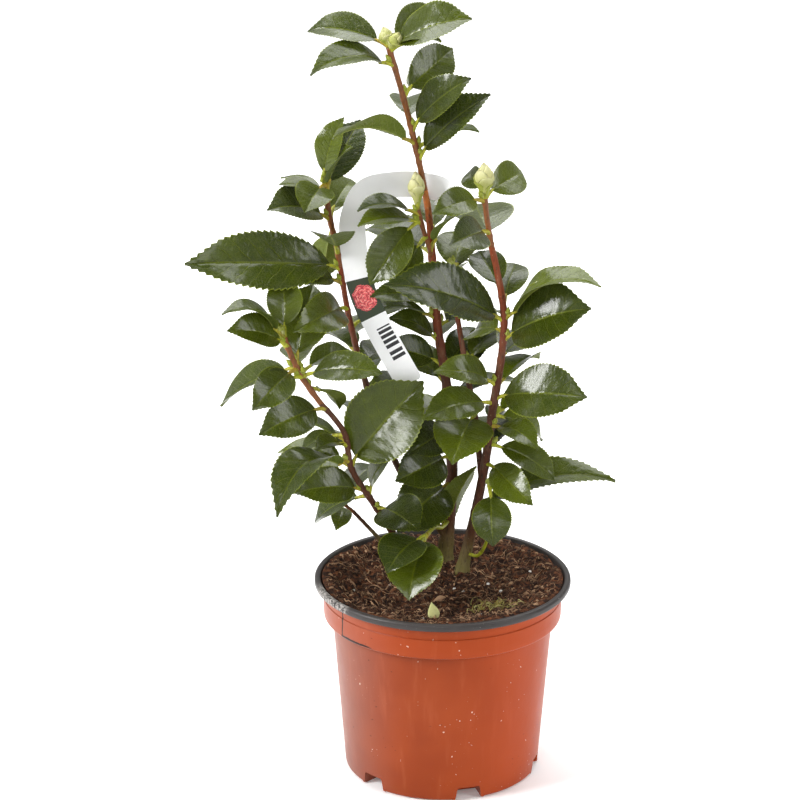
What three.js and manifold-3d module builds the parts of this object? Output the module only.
// A young camellia shrub in its plastic nursery pot: the pot, its peat fill, six woody stems and boughs,
// the leafy shoots that they carry, and the plastic strip tag that is looped round the leader.
// Millimetres, +Z up, the photo's front towards -Y. The origin is the middle of the pot's flat underside.

import * as THREE from "three";
import { mergeVertices } from "three/addons/utils/BufferGeometryUtils.js";
import Module from "manifold-3d";

const wasm = await Module();
wasm.setup();

// The pot
const RIM_RADIUS = 75;
const POT_HEIGHT = 118;
const LIP_HEIGHT = 4.5;
const LIP_WIDTH = 3.7;
const COLLAR_RADIUS = 69.3;
const COLLAR_FOOT = 94.5;
const SHOULDER_RADIUS = 64.5;
const BASE_RADIUS = 57.4;
const POT_WALL = 1.4;
const FLOOR_THICKNESS = 2;
const FOOT_NOTCHES = 6;
const FIRST_NOTCH_HEADING = -45;
const NOTCH_WIDTH = 16;
const NOTCH_HEIGHT = 8;
const NOTCH_DEPTH = 13;
const DRAIN_HOLE_RADIUS = 3.5;
const POT_SEGMENTS = 40;

// The fill and what stands in it
const SOIL_LEVEL = 108.5;
const GAP = 0.3;
const GROUND_CUT = SOIL_LEVEL + GAP;

// Leaves and buds
const LEAF_SLIMNESS = 0.56;
const LEAF_THICKNESS = 1.1;
const PETIOLE_LENGTH = 8;
const PETIOLE_RADIUS = 1;
const PETIOLE_LIFT = 20;
const SIDE_TWIG_RADIUS = 1.2;
const FOLD_ANGLE = 16;
const HALF_WIDTHS = [
  [0, 0.12],
  [0.2, 0.78],
  [0.5, 1],
  [0.82, 0.62],
  [1, 0.05],
];
const BUD_WIDTHS = [
  [0, 0.2],
  [0.3, 0.5],
  [0.52, 1],
  [0.8, 0.66],
  [1, 0.08],
];

// The plastic tag
const TAG_WIDTH = 15.4;
const TAG_THICKNESS = 0.8;

const radians = THREE.MathUtils.degToRad;
const up = new THREE.Vector3(0, 0, 1);
const point = ([x, y, z]) => new THREE.Vector3(x, y, z);

// Unit direction from a compass heading (0 right, 90 back, 180 left, 270 front) and a rise in degrees.
function direction(heading, rise) {
  const flat = Math.cos(radians(rise));
  return new THREE.Vector3(
    flat * Math.cos(radians(heading)),
    flat * Math.sin(radians(heading)),
    Math.sin(radians(rise)),
  );
}

// Small repeatable random numbers between 0 and 1.
function seeded(seed) {
  let state = seed;
  return () => {
    state = (state * 16807) % 2147483647;
    return state / 2147483647;
  };
}

// Point at fraction t of a smooth line through hand-placed points.
function along(points, t) {
  const last = points.length - 1;
  const place = Math.min(Math.max(t, 0), 1) * last;
  const i = Math.min(Math.floor(place), last - 1);
  const u = place - i;
  const [a, b, c, d] = [i - 1, i, i + 1, i + 2].map((k) => points[Math.min(Math.max(k, 0), last)]);
  const blend = (p, q, r, s) =>
    q + 0.5 * u * (r - p + (2 * p - 5 * q + 4 * r - s) * u + (3 * q - p - 3 * r + s) * u * u);
  return point([0, 1, 2].map((k) => blend(a[k], b[k], c[k], d[k])));
}

// Closed solid through rings of points, with flat ends.
function loft(rings) {
  const sides = rings[0].length;
  const faces = [];
  for (let r = 0; r < rings.length - 1; r++) {
    for (let k = 0; k < sides; k++) {
      const a = r * sides + k;
      const b = r * sides + ((k + 1) % sides);
      faces.push(a, b, b + sides, a, b + sides, a + sides);
    }
  }
  const end = (rings.length - 1) * sides;
  for (let k = 1; k < sides - 1; k++) {
    faces.push(0, k + 1, k);
    faces.push(end, end + k, end + k + 1);
  }
  return new wasm.Manifold(
    new wasm.Mesh({
      numProp: 3,
      vertProperties: new Float32Array(rings.flat().flatMap((p) => p.toArray())),
      triVerts: new Uint32Array(faces),
    }),
  );
}

// Solid from a three.js geometry.
function solidFrom(geometry) {
  geometry.deleteAttribute("normal");
  geometry.deleteAttribute("uv");
  const merged = mergeVertices(geometry, 1e-4);
  return new wasm.Manifold(
    new wasm.Mesh({
      numProp: 3,
      vertProperties: merged.attributes.position.array,
      triVerts: new Uint32Array(merged.index.array),
    }),
  );
}

const joined = (solids) => solids.reduce((whole, piece) => whole.add(piece));

// Ring of points round a centre, square to a direction, starting on the side that is named.
function ring(centre, axis, radius, sides, first = new THREE.Vector3(0.95, 0.31, 0)) {
  const across = first.clone().addScaledVector(axis, -first.dot(axis)).normalize();
  const other = axis.clone().cross(across);
  return Array.from({ length: sides }, (_, k) => {
    const turn = (2 * Math.PI * k) / sides;
    return centre
      .clone()
      .addScaledVector(across, radius * Math.cos(turn))
      .addScaledVector(other, radius * Math.sin(turn));
  });
}

// Tapering round rod along a line of points.
function rod(points, radiusAt, rings, sides, flatFoot = false) {
  const step = 1 / rings;
  return loft(
    Array.from({ length: rings + 1 }, (_, i) => {
      const t = i * step;
      const axis = along(points, t + step / 4).sub(along(points, t - step / 4)).normalize();
      const square = flatFoot && i === 0 ? up.clone() : axis;
      return ring(along(points, t), square, radiusAt(t), sides);
    }),
  );
}

// The shrub's group and the mesh that each named piece becomes.
const shrub = new THREE.Group();
shrub.name = "camellia_in_pot";

const finishes = {
  pot: new THREE.MeshStandardMaterial({ color: 0xb85a35, roughness: 0.45 }),
  soil: new THREE.MeshStandardMaterial({ color: 0x3a2a1e, roughness: 1 }),
  bark: new THREE.MeshStandardMaterial({ color: 0x6b3a26, roughness: 0.7 }),
  leaf: new THREE.MeshStandardMaterial({ color: 0x2c4019, roughness: 0.3 }),
  tag: new THREE.MeshStandardMaterial({ color: 0xeceeee, roughness: 0.4 }),
};

function addPiece(name, solid, finish) {
  const { vertProperties, triVerts } = solid.getMesh();
  const geometry = new THREE.BufferGeometry();
  geometry.setAttribute("position", new THREE.BufferAttribute(vertProperties, 3));
  geometry.setIndex(new THREE.BufferAttribute(triVerts, 1));
  geometry.computeVertexNormals();
  const mesh = new THREE.Mesh(geometry, finish);
  mesh.name = name;
  shrub.add(mesh);
}

// The pot: a turned shell with a rolled lip, a stepped collar and a slightly tapering body. Six raised
// pockets in its base edge let water out through a hole each, and its underside is flat between them.
const turned = (profile) => {
  const outline = profile.map(([r, z]) => new THREE.Vector2(r, z));
  return solidFrom(new THREE.LatheGeometry(outline, POT_SEGMENTS).rotateX(Math.PI / 2));
};

const notchBlock = (grow) => {
  const width = NOTCH_WIDTH / 2 + grow;
  const shape = new THREE.Shape();
  shape.moveTo(-width, -grow - 1);
  shape.lineTo(width, -grow - 1);
  shape.lineTo(width - 1.2, NOTCH_HEIGHT + grow);
  shape.lineTo(-width + 1.2, NOTCH_HEIGHT + grow);
  shape.closePath();
  return new THREE.ExtrudeGeometry(shape, { depth: NOTCH_DEPTH + 12, bevelEnabled: false })
    .rotateX(Math.PI / 2)
    .rotateZ(Math.PI / 2)
    .translate(BASE_RADIUS - NOTCH_DEPTH - grow, 0, 0);
};

const aroundBase = (geometry) =>
  joined(
    Array.from({ length: FOOT_NOTCHES }, (_, k) => {
      const heading = FIRST_NOTCH_HEADING - 90 + (360 / FOOT_NOTCHES) * k;
      return solidFrom(geometry.clone().rotateZ(radians(heading)));
    }),
  );

const outerShell = turned([
  [0, 0],
  [BASE_RADIUS - 1.2, 0],
  [BASE_RADIUS, 1.4],
  [SHOULDER_RADIUS, COLLAR_FOOT - 0.8],
  [COLLAR_RADIUS - 0.6, COLLAR_FOOT],
  [COLLAR_RADIUS + 0.5, COLLAR_FOOT + 6],
  [COLLAR_RADIUS, POT_HEIGHT - LIP_HEIGHT - 6],
  [COLLAR_RADIUS + 1, POT_HEIGHT - LIP_HEIGHT],
  [RIM_RADIUS - 0.7, POT_HEIGHT - LIP_HEIGHT],
  [RIM_RADIUS, POT_HEIGHT - LIP_HEIGHT + 1],
  [RIM_RADIUS, POT_HEIGHT - 1],
  [RIM_RADIUS - 1, POT_HEIGHT],
  [0, POT_HEIGHT],
]);

const insideProfile = (inset, top) => [
  [0, FLOOR_THICKNESS + inset],
  [BASE_RADIUS - POT_WALL - inset, FLOOR_THICKNESS + inset],
  [SHOULDER_RADIUS - POT_WALL - inset, COLLAR_FOOT - 0.4 + inset],
  [COLLAR_RADIUS - POT_WALL - 0.6 - inset, COLLAR_FOOT + 1.2 + inset],
  [COLLAR_RADIUS - POT_WALL - inset, Math.min(top, POT_HEIGHT - 8)],
];

const hollow = turned([
  ...insideProfile(0, POT_HEIGHT),
  [RIM_RADIUS - LIP_WIDTH, POT_HEIGHT - 1.5],
  [RIM_RADIUS - LIP_WIDTH + 0.6, POT_HEIGHT + 1],
  [0, POT_HEIGHT + 1],
]);

const drainHole = new THREE.CylinderGeometry(DRAIN_HOLE_RADIUS, DRAIN_HOLE_RADIUS, 6, 8)
  .rotateX(Math.PI / 2)
  .translate(BASE_RADIUS - NOTCH_DEPTH / 2 - 1, 0, NOTCH_HEIGHT);

const pocketWalls = aroundBase(notchBlock(POT_WALL));
const pot = outerShell
  .subtract(hollow.subtract(pocketWalls))
  .subtract(aroundBase(notchBlock(0)))
  .subtract(aroundBase(drainHole));
addPiece("pot", pot, finishes.pot);

// The peat fill, level a finger's width under the rim and a hair clear of the wall.
const fill = turned([...insideProfile(GAP, SOIL_LEVEL), [0, SOIL_LEVEL]]);
const soil = fill.subtract(aroundBase(notchBlock(POT_WALL + GAP)));
addPiece("soil", soil, finishes.soil);

// Woody limbs. Each is one tapering rod along a few points, from its diameter at the foot to that at the
// tip, and flares out over its last few millimetres where it rises from the peat.
function limb(name, { points, foot, tip, flare = 0, from = null, rings = 10, sides = 6 }) {
  const radiusAt = (t) => {
    const clamped = Math.min(Math.max(t, 0), 1);
    return (tip + (foot - tip) * (1 - clamped) ** 1.2 + flare * Math.exp(-clamped * 14)) / 2;
  };
  const made = { name, points, radiusAt };
  made.solid = rod(points, radiusAt, rings, sides, from === null);
  made.clearance = rod(points, (t) => radiusAt(t) + GAP, rings, sides, from === null);
  if (from) made.solid = made.solid.subtract(from.clearance);
  addPiece(name, made.solid, finishes.bark);
  return made;
}

const leader = limb("trunk_leader", {
  points: [
    [2, 44, GROUND_CUT],
    [6, 36, 170],
    [3, 30, 219],
    [-4, 24, 269],
    [-8, 16, 325],
    [-11, 12, 346],
  ],
  foot: 7.6,
  tip: 3.3,
  flare: 3,
});
const rightStem = limb("stem_right", {
  points: [
    [12, 27, GROUND_CUT],
    [19, 22, 145],
    [25, 16, 182],
    [28, 10, 212],
    [33, 5, 250],
    [34, 2, 275],
    [30, 0, 301],
    [26, -2, 318],
  ],
  foot: 5.6,
  tip: 3.3,
  flare: 3,
});
const innerBough = limb("bough_inner", {
  points: [[23, 19, 168], [19, 23, 205], [12, 24, 245], [7, 21, 276]],
  foot: 3.8,
  tip: 2.9,
  from: rightStem,
  rings: 8,
});
const leftBough = limb("bough_left", {
  points: [
    [2, 41, 126],
    [-22, 38, 163],
    [-38, 32, 202],
    [-48, 26, 240],
    [-55, 22, 273],
    [-59, 18, 300],
  ],
  foot: 4.4,
  tip: 3.1,
  from: leader,
});
const lowLeftStem = limb("stem_left_low", {
  points: [
    [-19, 44, GROUND_CUT],
    [-32, 22, 140],
    [-42, 10, 161],
    [-53, 0, 184],
    [-57, -6, 208],
    [-70, -10, 227],
  ],
  foot: 4.4,
  tip: 3.1,
  flare: 1.6,
});
const thinStem = limb("stem_thin", {
  points: [[-28, 50, GROUND_CUT], [-40, 46, 125], [-53, 40, 142]],
  foot: 2.6,
  tip: 2.2,
  flare: 1,
  rings: 6,
  sides: 6,
});
const limbs = [leader, rightStem, innerBough, leftBough, lowLeftStem, thinStem];

// One leaf in one piece: a square stalk from its root to the blade's foot, then a thin folded blade that
// humps along its length by arch and is rolled about its midrib.
function leafSolid(root, foot, tip, roll, arch, slimness, thickness) {
  const length = foot.distanceTo(tip);
  const forward = tip.clone().sub(foot).normalize();
  const side = up.clone().cross(forward).normalize().applyAxisAngle(forward, radians(roll));
  const normal = forward.clone().cross(side);
  const fold = radians(FOLD_ANGLE);
  const blade = HALF_WIDTHS.map(([t, share]) => {
    const rib = foot
      .clone()
      .addScaledVector(forward, t * length)
      .addScaledVector(normal, 4 * t * (1 - t) * arch * length);
    const slope = forward.clone().addScaledVector(normal, 4 * (1 - 2 * t) * arch).normalize();
    const face = slope.cross(side);
    const reach = (share * length * slimness) / 2;
    const lift = reach * Math.sin(fold);
    const edge = (sign) =>
      rib.clone().addScaledVector(side, sign * reach * Math.cos(fold)).addScaledVector(face, lift);
    const spine = (sign) => rib.clone().addScaledVector(face, (sign * thickness) / 2);
    return [edge(1), spine(1), edge(-1), spine(-1)];
  });
  const stalk = ring(root, foot.clone().sub(root).normalize(), PETIOLE_RADIUS, 4, side);
  return loft([stalk, ...blade]);
}

// Points of a leaf that have to keep clear of the limbs.
function keepsClear(foot, tip) {
  return [0.2, 0.4, 0.6, 0.8, 1].every((share) => {
    const spot = foot.clone().lerp(tip, share);
    return limbs.every(({ points, radiusAt }) =>
      Array.from({ length: 25 }, (_, k) => k / 24).every(
        (t) => along(points, t).distanceTo(spot) > radiusAt(t) + 1,
      ),
    );
  });
}

// A leaf row is [place along the stem, heading, rise, reach from stem to tip, roll, arch, slimness].
function leafPieces(points, row, root, thickness = LEAF_THICKNESS) {
  const [place, heading, rise, reach, roll = 0, arch = 0.08, slimness = LEAF_SLIMNESS] = row;
  const origin = along(points, place);
  const foot = origin.clone().addScaledVector(direction(heading, rise + PETIOLE_LIFT), PETIOLE_LENGTH);
  const tip = origin.clone().addScaledVector(direction(heading, rise), reach);
  if (!keepsClear(foot, tip)) return [];
  return [leafSolid(root || origin, foot, tip, roll, arch, slimness, thickness)];
}

// A plump pointed bud on the shoot, [place, heading, rise, length, width].
function budPiece(points, [place, heading, rise, length, width]) {
  const origin = along(points, place);
  const axis = direction(heading, rise);
  const rings = BUD_WIDTHS.map(([t, share]) => {
    const centre = origin.clone().addScaledVector(axis, t * length);
    return ring(centre, axis, (share * width) / 2, 5);
  });
  return loft(rings);
}

// Rows of leaves by rule, spread by the golden angle over an arc of headings on the side that faces away.
function leavesByRule({ seed, count, headings, places = [0.1, 0.9], reach = 48, rise = 10 }) {
  const random = seeded(seed);
  return Array.from({ length: count }, (_, k) => {
    const share = (k * 0.618 + random() * 0.3) % 1;
    const heading = headings[0] + (headings[1] - headings[0]) * share;
    const place = places[0] + ((places[1] - places[0]) * (k + 0.5)) / count;
    const tilt = rise + 30 * (random() - 0.5);
    return [place, heading, tilt, reach * (0.85 + 0.3 * random()), 30 * (random() - 0.5), 0.1];
  });
}

// A side twig that leaves its limb and climbs beside it, a hair clear, between two places on it.
function sideTwig(beside, side, [low, high]) {
  const out = direction(side, 0);
  const offset = (t) =>
    along(beside.points, t).addScaledVector(out, beside.radiusAt(t) + 2 * GAP + SIDE_TWIG_RADIUS);
  const steps = 1 + Math.ceil((high - low) * 8);
  const trail = [along(beside.points, low - 0.01).toArray()];
  for (let k = 0; k <= steps; k++) trail.push(offset(low + ((high - low) * k) / steps).toArray());
  return { offset, solid: rod(trail, () => SIDE_TWIG_RADIUS, trail.length, 4) };
}

// A mass of foliage in one piece. It carries on from its limb's tip along a stem of its own, climbs
// beside its limb on a side twig, or is leaves on the limb itself. Its leaves by rule come last of all.
const masses = [];
function foliage(name, options) {
  const { tipOf, branchOf, place, beside, stem, side, span, thick = 3, leaves = [], buds = [] } = options;
  let line = beside && beside.points;
  let rootAt = () => null;
  const pieces = [];
  if (stem) {
    const start = tipOf ? along(tipOf.points, 1) : along(branchOf.points, place);
    const onward = tipOf ? start.clone().sub(along(tipOf.points, 0.97)).setLength(GAP) : point([0, 0, 0]);
    const first = tipOf ? tipOf.radiusAt(1) : thick / 2;
    line = [start.clone().add(onward).toArray(), ...stem];
    pieces.push(rod(line, (t) => first + (thick / 2 - first) * t, 2 * stem.length, 5));
  } else if (span) {
    const twig = sideTwig(beside, side, span);
    rootAt = twig.offset;
    pieces.push(twig.solid);
  }
  leaves.forEach((row) => pieces.push(...leafPieces(line, row, rootAt(row[0]))));
  buds.forEach((bud) => pieces.push(budPiece(line, bud)));
  masses.push({ name, line, rootAt, pieces, solid: joined(pieces), byRule: options.byRule || [] });
}

// The leader: its leafy top with two buds, the bud shoot below it, and the leaves along its trunk.
foliage("foliage_leader_top", {
  tipOf: leader,
  stem: [[-15, 9, 366], [-22, 5, 396], [-31, 0, 429]],
  leaves: [
    [1, 165, 9, 47, -30, 0.12],
    [0.87, 205, 0, 50, -20, 0.18],
    [0.97, 340, 24, 51, 40, 0.09, 0.64],
    [0.98, 50, 20, 44, 40, 0.1],
    [0.96, 330, 16, 33, 15, 0.1],
    [0.7, 40, 34, 43, 60, 0.05, 0.65],
    [0.5, 335, 44, 48, 60, 0.06],
    [0.3, 340, 44, 58, 55, 0.08, 0.45],
    [0.42, 215, 12, 56, 25, 0.12, 0.5],
  ],
  byRule: [{ seed: 11, count: 3, headings: [30, 100], places: [0.3, 0.8], reach: 44 }],
  buds: [
    [0.99, 150, 72, 12, 7.5],
    [0.97, 330, 60, 12, 8],
  ],
});
foliage("foliage_bud_shoot", {
  branchOf: leader,
  place: 0.72,
  stem: [[-9, 13, 314], [-13, 8, 328], [-15, 5, 338]],
  thick: 2.6,
  leaves: [
    [0.8, 203, 10, 38, -15, 0.12],
    [0.65, 207, 5, 40, -20, 0.12],
    [0.7, 206, -46, 46, -50, 0.05, 0.6],
    [0.45, 232, -45, 34, -30, 0.05],
    [0.2, 315, 45, 40, 20, 0.1, 0.5],
  ],
  buds: [[1, 120, 82, 20, 9]],
});
foliage("foliage_leader_left", {
  beside: leader,
  side: 195,
  span: [0.46, 0.64],
  leaves: [
    [0.53, 195, 30, 36, -40, 0.15, 0.55],
    [0.47, 175, 18, 36, -50, 0.08, 0.7],
    [0.59, 195, 12, 38, -10, 0.12, 0.45],
    [0.63, 200, 10, 40, -40, 0.1, 0.45],
  ],
});
foliage("foliage_leader_back", {
  beside: leader,
  side: 80,
  span: [0.34, 0.82],
  byRule: [{ seed: 3, count: 12, headings: [25, 155], places: [0.36, 0.82], reach: 52 }],
});
foliage("foliage_trunk_left", {
  beside: leader,
  side: 220,
  span: [0.17, 0.3],
  leaves: [
    [0.3, 231, -4, 40, -45, 0.1, 0.7],
    [0.23, 220, -6, 44, -50, 0.1, 0.75],
    [0.17, 231, -17, 53, -40, 0.1, 0.72],
  ],
});
foliage("foliage_foot_upright", {
  beside: leader,
  side: 300,
  leaves: [[0.06, 310, 65, 60, 0, 0.05, 0.41]],
});
foliage("foliage_foot_front", {
  branchOf: leader,
  place: 0.1,
  stem: [[0, 24, 138], [-5, 8, 144], [-10, -3, 143]],
  thick: 2.4,
  leaves: [
    [1, 235, -14, 40, -10, 0.1, 0.85],
    [0.9, 253, -34, 46, 0, 0.08, 0.88],
  ],
});

// The right-hand stem: its top with the large bud, and the leaves on each side of it down to the foot.
foliage("foliage_right_top", {
  tipOf: rightStem,
  stem: [[24, -3, 330], [22, -4, 345]],
  leaves: [
    [0.95, 50, 15, 36, 55, 0.1, 0.7],
    [0.98, 110, 25, 26, -50, 0.1, 0.7],
    [0.9, 220, 0, 38, -45, 0.12],
    [0.1, 100, 14, 46, 0, 0.05, 0.98],
    [0.3, 238, 5, 42, -50, 0.08, 0.62],
  ],
  buds: [[1, 100, 82, 20, 11]],
});
foliage("foliage_right_outer", {
  beside: rightStem,
  side: 335,
  span: [0.62, 0.7],
  leaves: [
    [0.7, 340, 25, 62, 10, 0.2, 0.5],
    [0.62, 332, 27, 60, 52, 0.08, 0.78],
  ],
});
foliage("foliage_right_inner", {
  beside: rightStem,
  side: 190,
  span: [0.65, 0.69],
  leaves: [
    [0.69, 202, 23, 79, -48, 0.08, 0.47],
    [0.65, 117, -15, 38, -40, 0.1, 0.8],
  ],
});
foliage("foliage_right_back", {
  beside: rightStem,
  side: 95,
  span: [0.73, 0.78],
  leaves: [
    [0.78, 112, 28, 38, -10, 0.08, 0.66],
    [0.74, 75, 28, 37, 10, 0.08, 0.7],
  ],
});
foliage("foliage_right_middle_left", {
  beside: rightStem,
  side: 210,
  span: [0.46, 0.5],
  leaves: [
    [0.5, 209, 20, 44, -45, 0.18, 0.52],
    [0.46, 212, 0, 48, -35, 0.12, 0.55],
  ],
});
foliage("foliage_right_middle", {
  beside: rightStem,
  side: 350,
  span: [0.43, 0.47],
  leaves: [
    [0.47, 334, 10, 58, 50, 0.08, 0.66],
    [0.43, 27, -30, 40, 30, 0.1, 0.7],
  ],
});
foliage("foliage_right_low_back", {
  beside: rightStem,
  side: 75,
  span: [0.24, 0.58],
  byRule: [{ seed: 8, count: 10, headings: [15, 110], places: [0.24, 0.58], reach: 50, rise: 6 }],
});
foliage("foliage_right_low", {
  beside: rightStem,
  side: 330,
  span: [0.28, 0.4],
  leaves: [
    [0.4, 314, -6, 38, 20, 0.15],
    [0.34, 352, -27, 44, 40, 0.12, 0.5],
    [0.28, 306, -15, 46, 45, 0.1, 0.5],
  ],
});
foliage("foliage_right_foot", {
  beside: rightStem,
  side: 350,
  leaves: [[0.16, 357, 15, 84, 20, 0.13, 0.32]],
});
foliage("foliage_foot_right", {
  branchOf: rightStem,
  place: 0.06,
  stem: [[22, 16, 124], [28, 10, 142], [28, 9, 162], [27, 6, 171]],
  thick: 2,
  leaves: [[1, 275, -55, 36, 0, 0.12, 0.8]],
});
foliage("foliage_inner_top", {
  tipOf: innerBough,
  stem: [[5, 18, 292], [4, 16, 300]],
  leaves: [
    [0.5, 77, 28, 42, 0, 0.08, 0.72],
    [0.9, 62, -12, 36, 0, 0.1],
  ],
});
foliage("foliage_inner_back", {
  beside: innerBough,
  side: 85,
  span: [0.45, 0.9],
  byRule: [{ seed: 21, count: 7, headings: [30, 110], places: [0.45, 0.9], reach: 46 }],
});
foliage("foliage_inner_front", {
  beside: innerBough,
  side: 265,
  leaves: [[0.36, 252, -18, 46, -10, 0.1, 0.9]],
});

// The left-hand bough from the leader's foot: its leafy top and the long leaves under it.
foliage("foliage_left_top", {
  tipOf: leftBough,
  stem: [[-61, 16, 312], [-65, 13, 332], [-67, 12, 350]],
  leaves: [
    [0.97, 350, 75, 40, 60, 0.05, 0.55],
    [0.85, 50, 52, 48, 30, 0.05],
    [0.85, 320, 58, 36, 40, 0.1, 0.65],
    [0.62, 70, 22, 38, 30, 0.1, 0.6],
    [0.95, 250, -14, 32, -20, 0.1, 0.9],
    [0.8, 200, 22, 30, -20, 0.1],
    [0.6, 215, 17, 43, -35, 0.1, 0.78],
    [0.5, 112, -62, 38, 30, 0.05, 0.6],
    [0.24, 262, 26, 46, 0, 0.08, 0.66],
  ],
  byRule: [{ seed: 4, count: 2, headings: [90, 170], places: [0.5, 0.8], reach: 40 }],
});
foliage("foliage_left_long", {
  beside: leftBough,
  side: 210,
  span: [0.8, 0.97],
  leaves: [
    [0.97, 200, 8, 92, -60, 0.05, 0.4],
    [0.9, 213, 12, 36, -40, 0.1],
    [0.8, 238, 1, 54, -50, 0.15, 0.5],
  ],
});
foliage("foliage_left_back", {
  beside: leftBough,
  side: 80,
  span: [0.3, 0.75],
  byRule: [{ seed: 6, count: 9, headings: [40, 150], places: [0.3, 0.75], reach: 52, rise: 8 }],
});

// The low left-hand stem: the rosette at its tip, and the leaves along it.
foliage("foliage_low_left_top", {
  tipOf: lowLeftStem,
  stem: [[-80, -13, 243], [-86, -15, 257], [-90, -16, 268]],
  leaves: [
    [1, 213, 28, 44, -10, 0.2, 0.5],
    [0.8, 214, 23, 42, -50, 0.1, 0.6],
    [0.95, 95, 62, 36, 0, 0.05, 0.7],
    [0.5, 72, 54, 50, 20, 0.06, 0.7],
    [0.47, 163, -30, 54, -20, 0.08, 0.6],
    [0.45, 233, -18, 42, -40, 0.12, 0.6],
    [0.34, 228, -6, 38, -50, 0.1, 0.6],
    [0.38, 40, 10, 38, 20, 0.1, 0.5],
    [0.34, 337, 10, 50, 35, 0.1, 0.5],
    [0.2, 55, -35, 34, 0, 0.1, 0.6],
  ],
  byRule: [{ seed: 9, count: 2, headings: [90, 150], places: [0.3, 0.8], reach: 40 }],
});
foliage("foliage_low_left_front", {
  beside: lowLeftStem,
  side: 225,
  span: [0.45, 0.95],
  leaves: [
    [0.94, 218, -6, 47, -50, 0.1, 0.6],
    [0.64, 232, -12, 66, 0, 0.28, 0.5],
    [0.45, 206, 9, 46, -50, 0.1, 0.6],
    [0.78, 165, -25, 30, -30, 0.1, 0.6],
    [0.72, 234, 12, 30, -20, 0.1, 0.6],
  ],
});
foliage("foliage_low_left_large", {
  beside: lowLeftStem,
  side: 330,
  span: [0.32, 0.61],
  leaves: [
    [0.6, 0, 52, 67, 68, 0.06, 0.74],
    [0.42, 321, 59, 32, 60, 0.1, 0.6],
    [0.33, 308, -2, 40, 25, 0.1, 0.9],
  ],
});
foliage("foliage_low_left_back", {
  beside: lowLeftStem,
  side: 120,
  span: [0.42, 0.85],
  leaves: [[0.42, 155, -32, 42, -30, 0.1, 0.7]],
  byRule: [{ seed: 15, count: 5, headings: [70, 165], places: [0.5, 0.85], reach: 44 }],
});
foliage("foliage_thin_stem", {
  tipOf: thinStem,
  stem: [[-60, 36, 150], [-66, 32, 158]],
  thick: 1.8,
  leaves: [[0.4, 262, -13, 28, -20, 0.1, 0.6]],
  byRule: [{ seed: 5, count: 3, headings: [60, 200], places: [0.3, 1], reach: 40 }],
});

// The plastic tag: a strip that hangs down on the left, rises, turns behind the leader and comes back in
// front of it with a narrowed end. Each place on its middle line says which way its width points there.
const tagPlaces = [
  { at: [-19, 4, 234], across: [0.86, 0.12, 0.5] },
  { at: [-38.4, 9, 269], across: [0.86, 0.14, 0.5] },
  { at: [-47.6, 14, 291], across: [0.88, 0.14, 0.44] },
  { at: [-51.8, 19.5, 316], across: [0.97, 0.2, 0.15] },
  { at: [-50.6, 20.5, 331], across: [0.85, 0.3, -0.45] },
  { at: [-43, 19, 344], across: [0.5, 0.2, -0.84] },
  { at: [-27, 16.4, 348], across: [0.1, 0.12, -1] },
  { at: [-11, 15.9, 347.5], across: [-0.1, 0.17, -1] },
  { at: [1, 10.5, 345], across: [-0.5, 0, -0.86], width: 0.85 },
  { at: [-2, 6.5, 338], across: [-0.85, 0, -0.5], width: 0.6 },
];
const tagRings = Array.from({ length: 2 * tagPlaces.length - 1 }, (_, i) => {
  const t = i / (2 * tagPlaces.length - 2);
  const line = tagPlaces.map((place) => place.at);
  const middle = along(line, t);
  const slope = along(line, t + 0.01).sub(along(line, t - 0.01)).normalize();
  const wide = along(tagPlaces.map((place) => place.across), t);
  wide.addScaledVector(slope, -wide.dot(slope)).normalize();
  const thin = slope.clone().cross(wide);
  const half = (TAG_WIDTH / 2) * along(tagPlaces.map(({ width = 1 }) => [width, 0, 0]), t).x;
  const corner = (a, b) =>
    middle.clone().addScaledVector(wide, a * half).addScaledVector(thin, (b * TAG_THICKNESS) / 2);
  return [corner(1, 1), corner(-1, 1), corner(-1, -1), corner(1, -1)];
});
const tag = loft(tagRings);
addPiece("plastic_tag", tag, finishes.tag);

// The leaves by rule go in where they clear every other mass, the tag, the pot and the fill. Then each
// mass is cut clear of the limbs, and any scrap that this leaves loose is dropped.
const ROOM_TO_SPARE = 2;
for (const mass of masses) {
  const others = [...masses.filter((other) => other !== mass).map((other) => other.solid), tag, pot, soil];
  for (const row of mass.byRule.flatMap(leavesByRule)) {
    const root = mass.rootAt(row[0]);
    const room = leafPieces(mass.line, row, root, ROOM_TO_SPARE);
    const fits = room.every((leaf) => others.every((other) => leaf.intersect(other).isEmpty()));
    if (fits) mass.pieces.push(...leafPieces(mass.line, row, root));
  }
  mass.solid = joined(mass.pieces);
}
for (const { name, solid } of masses) {
  const cleared = limbs.reduce((mass, wood) => mass.subtract(wood.clearance), solid);
  const [whole] = cleared.decompose().sort((a, b) => b.volume() - a.volume());
  addPiece(name, whole, finishes.leaf);
}

export default shrub;
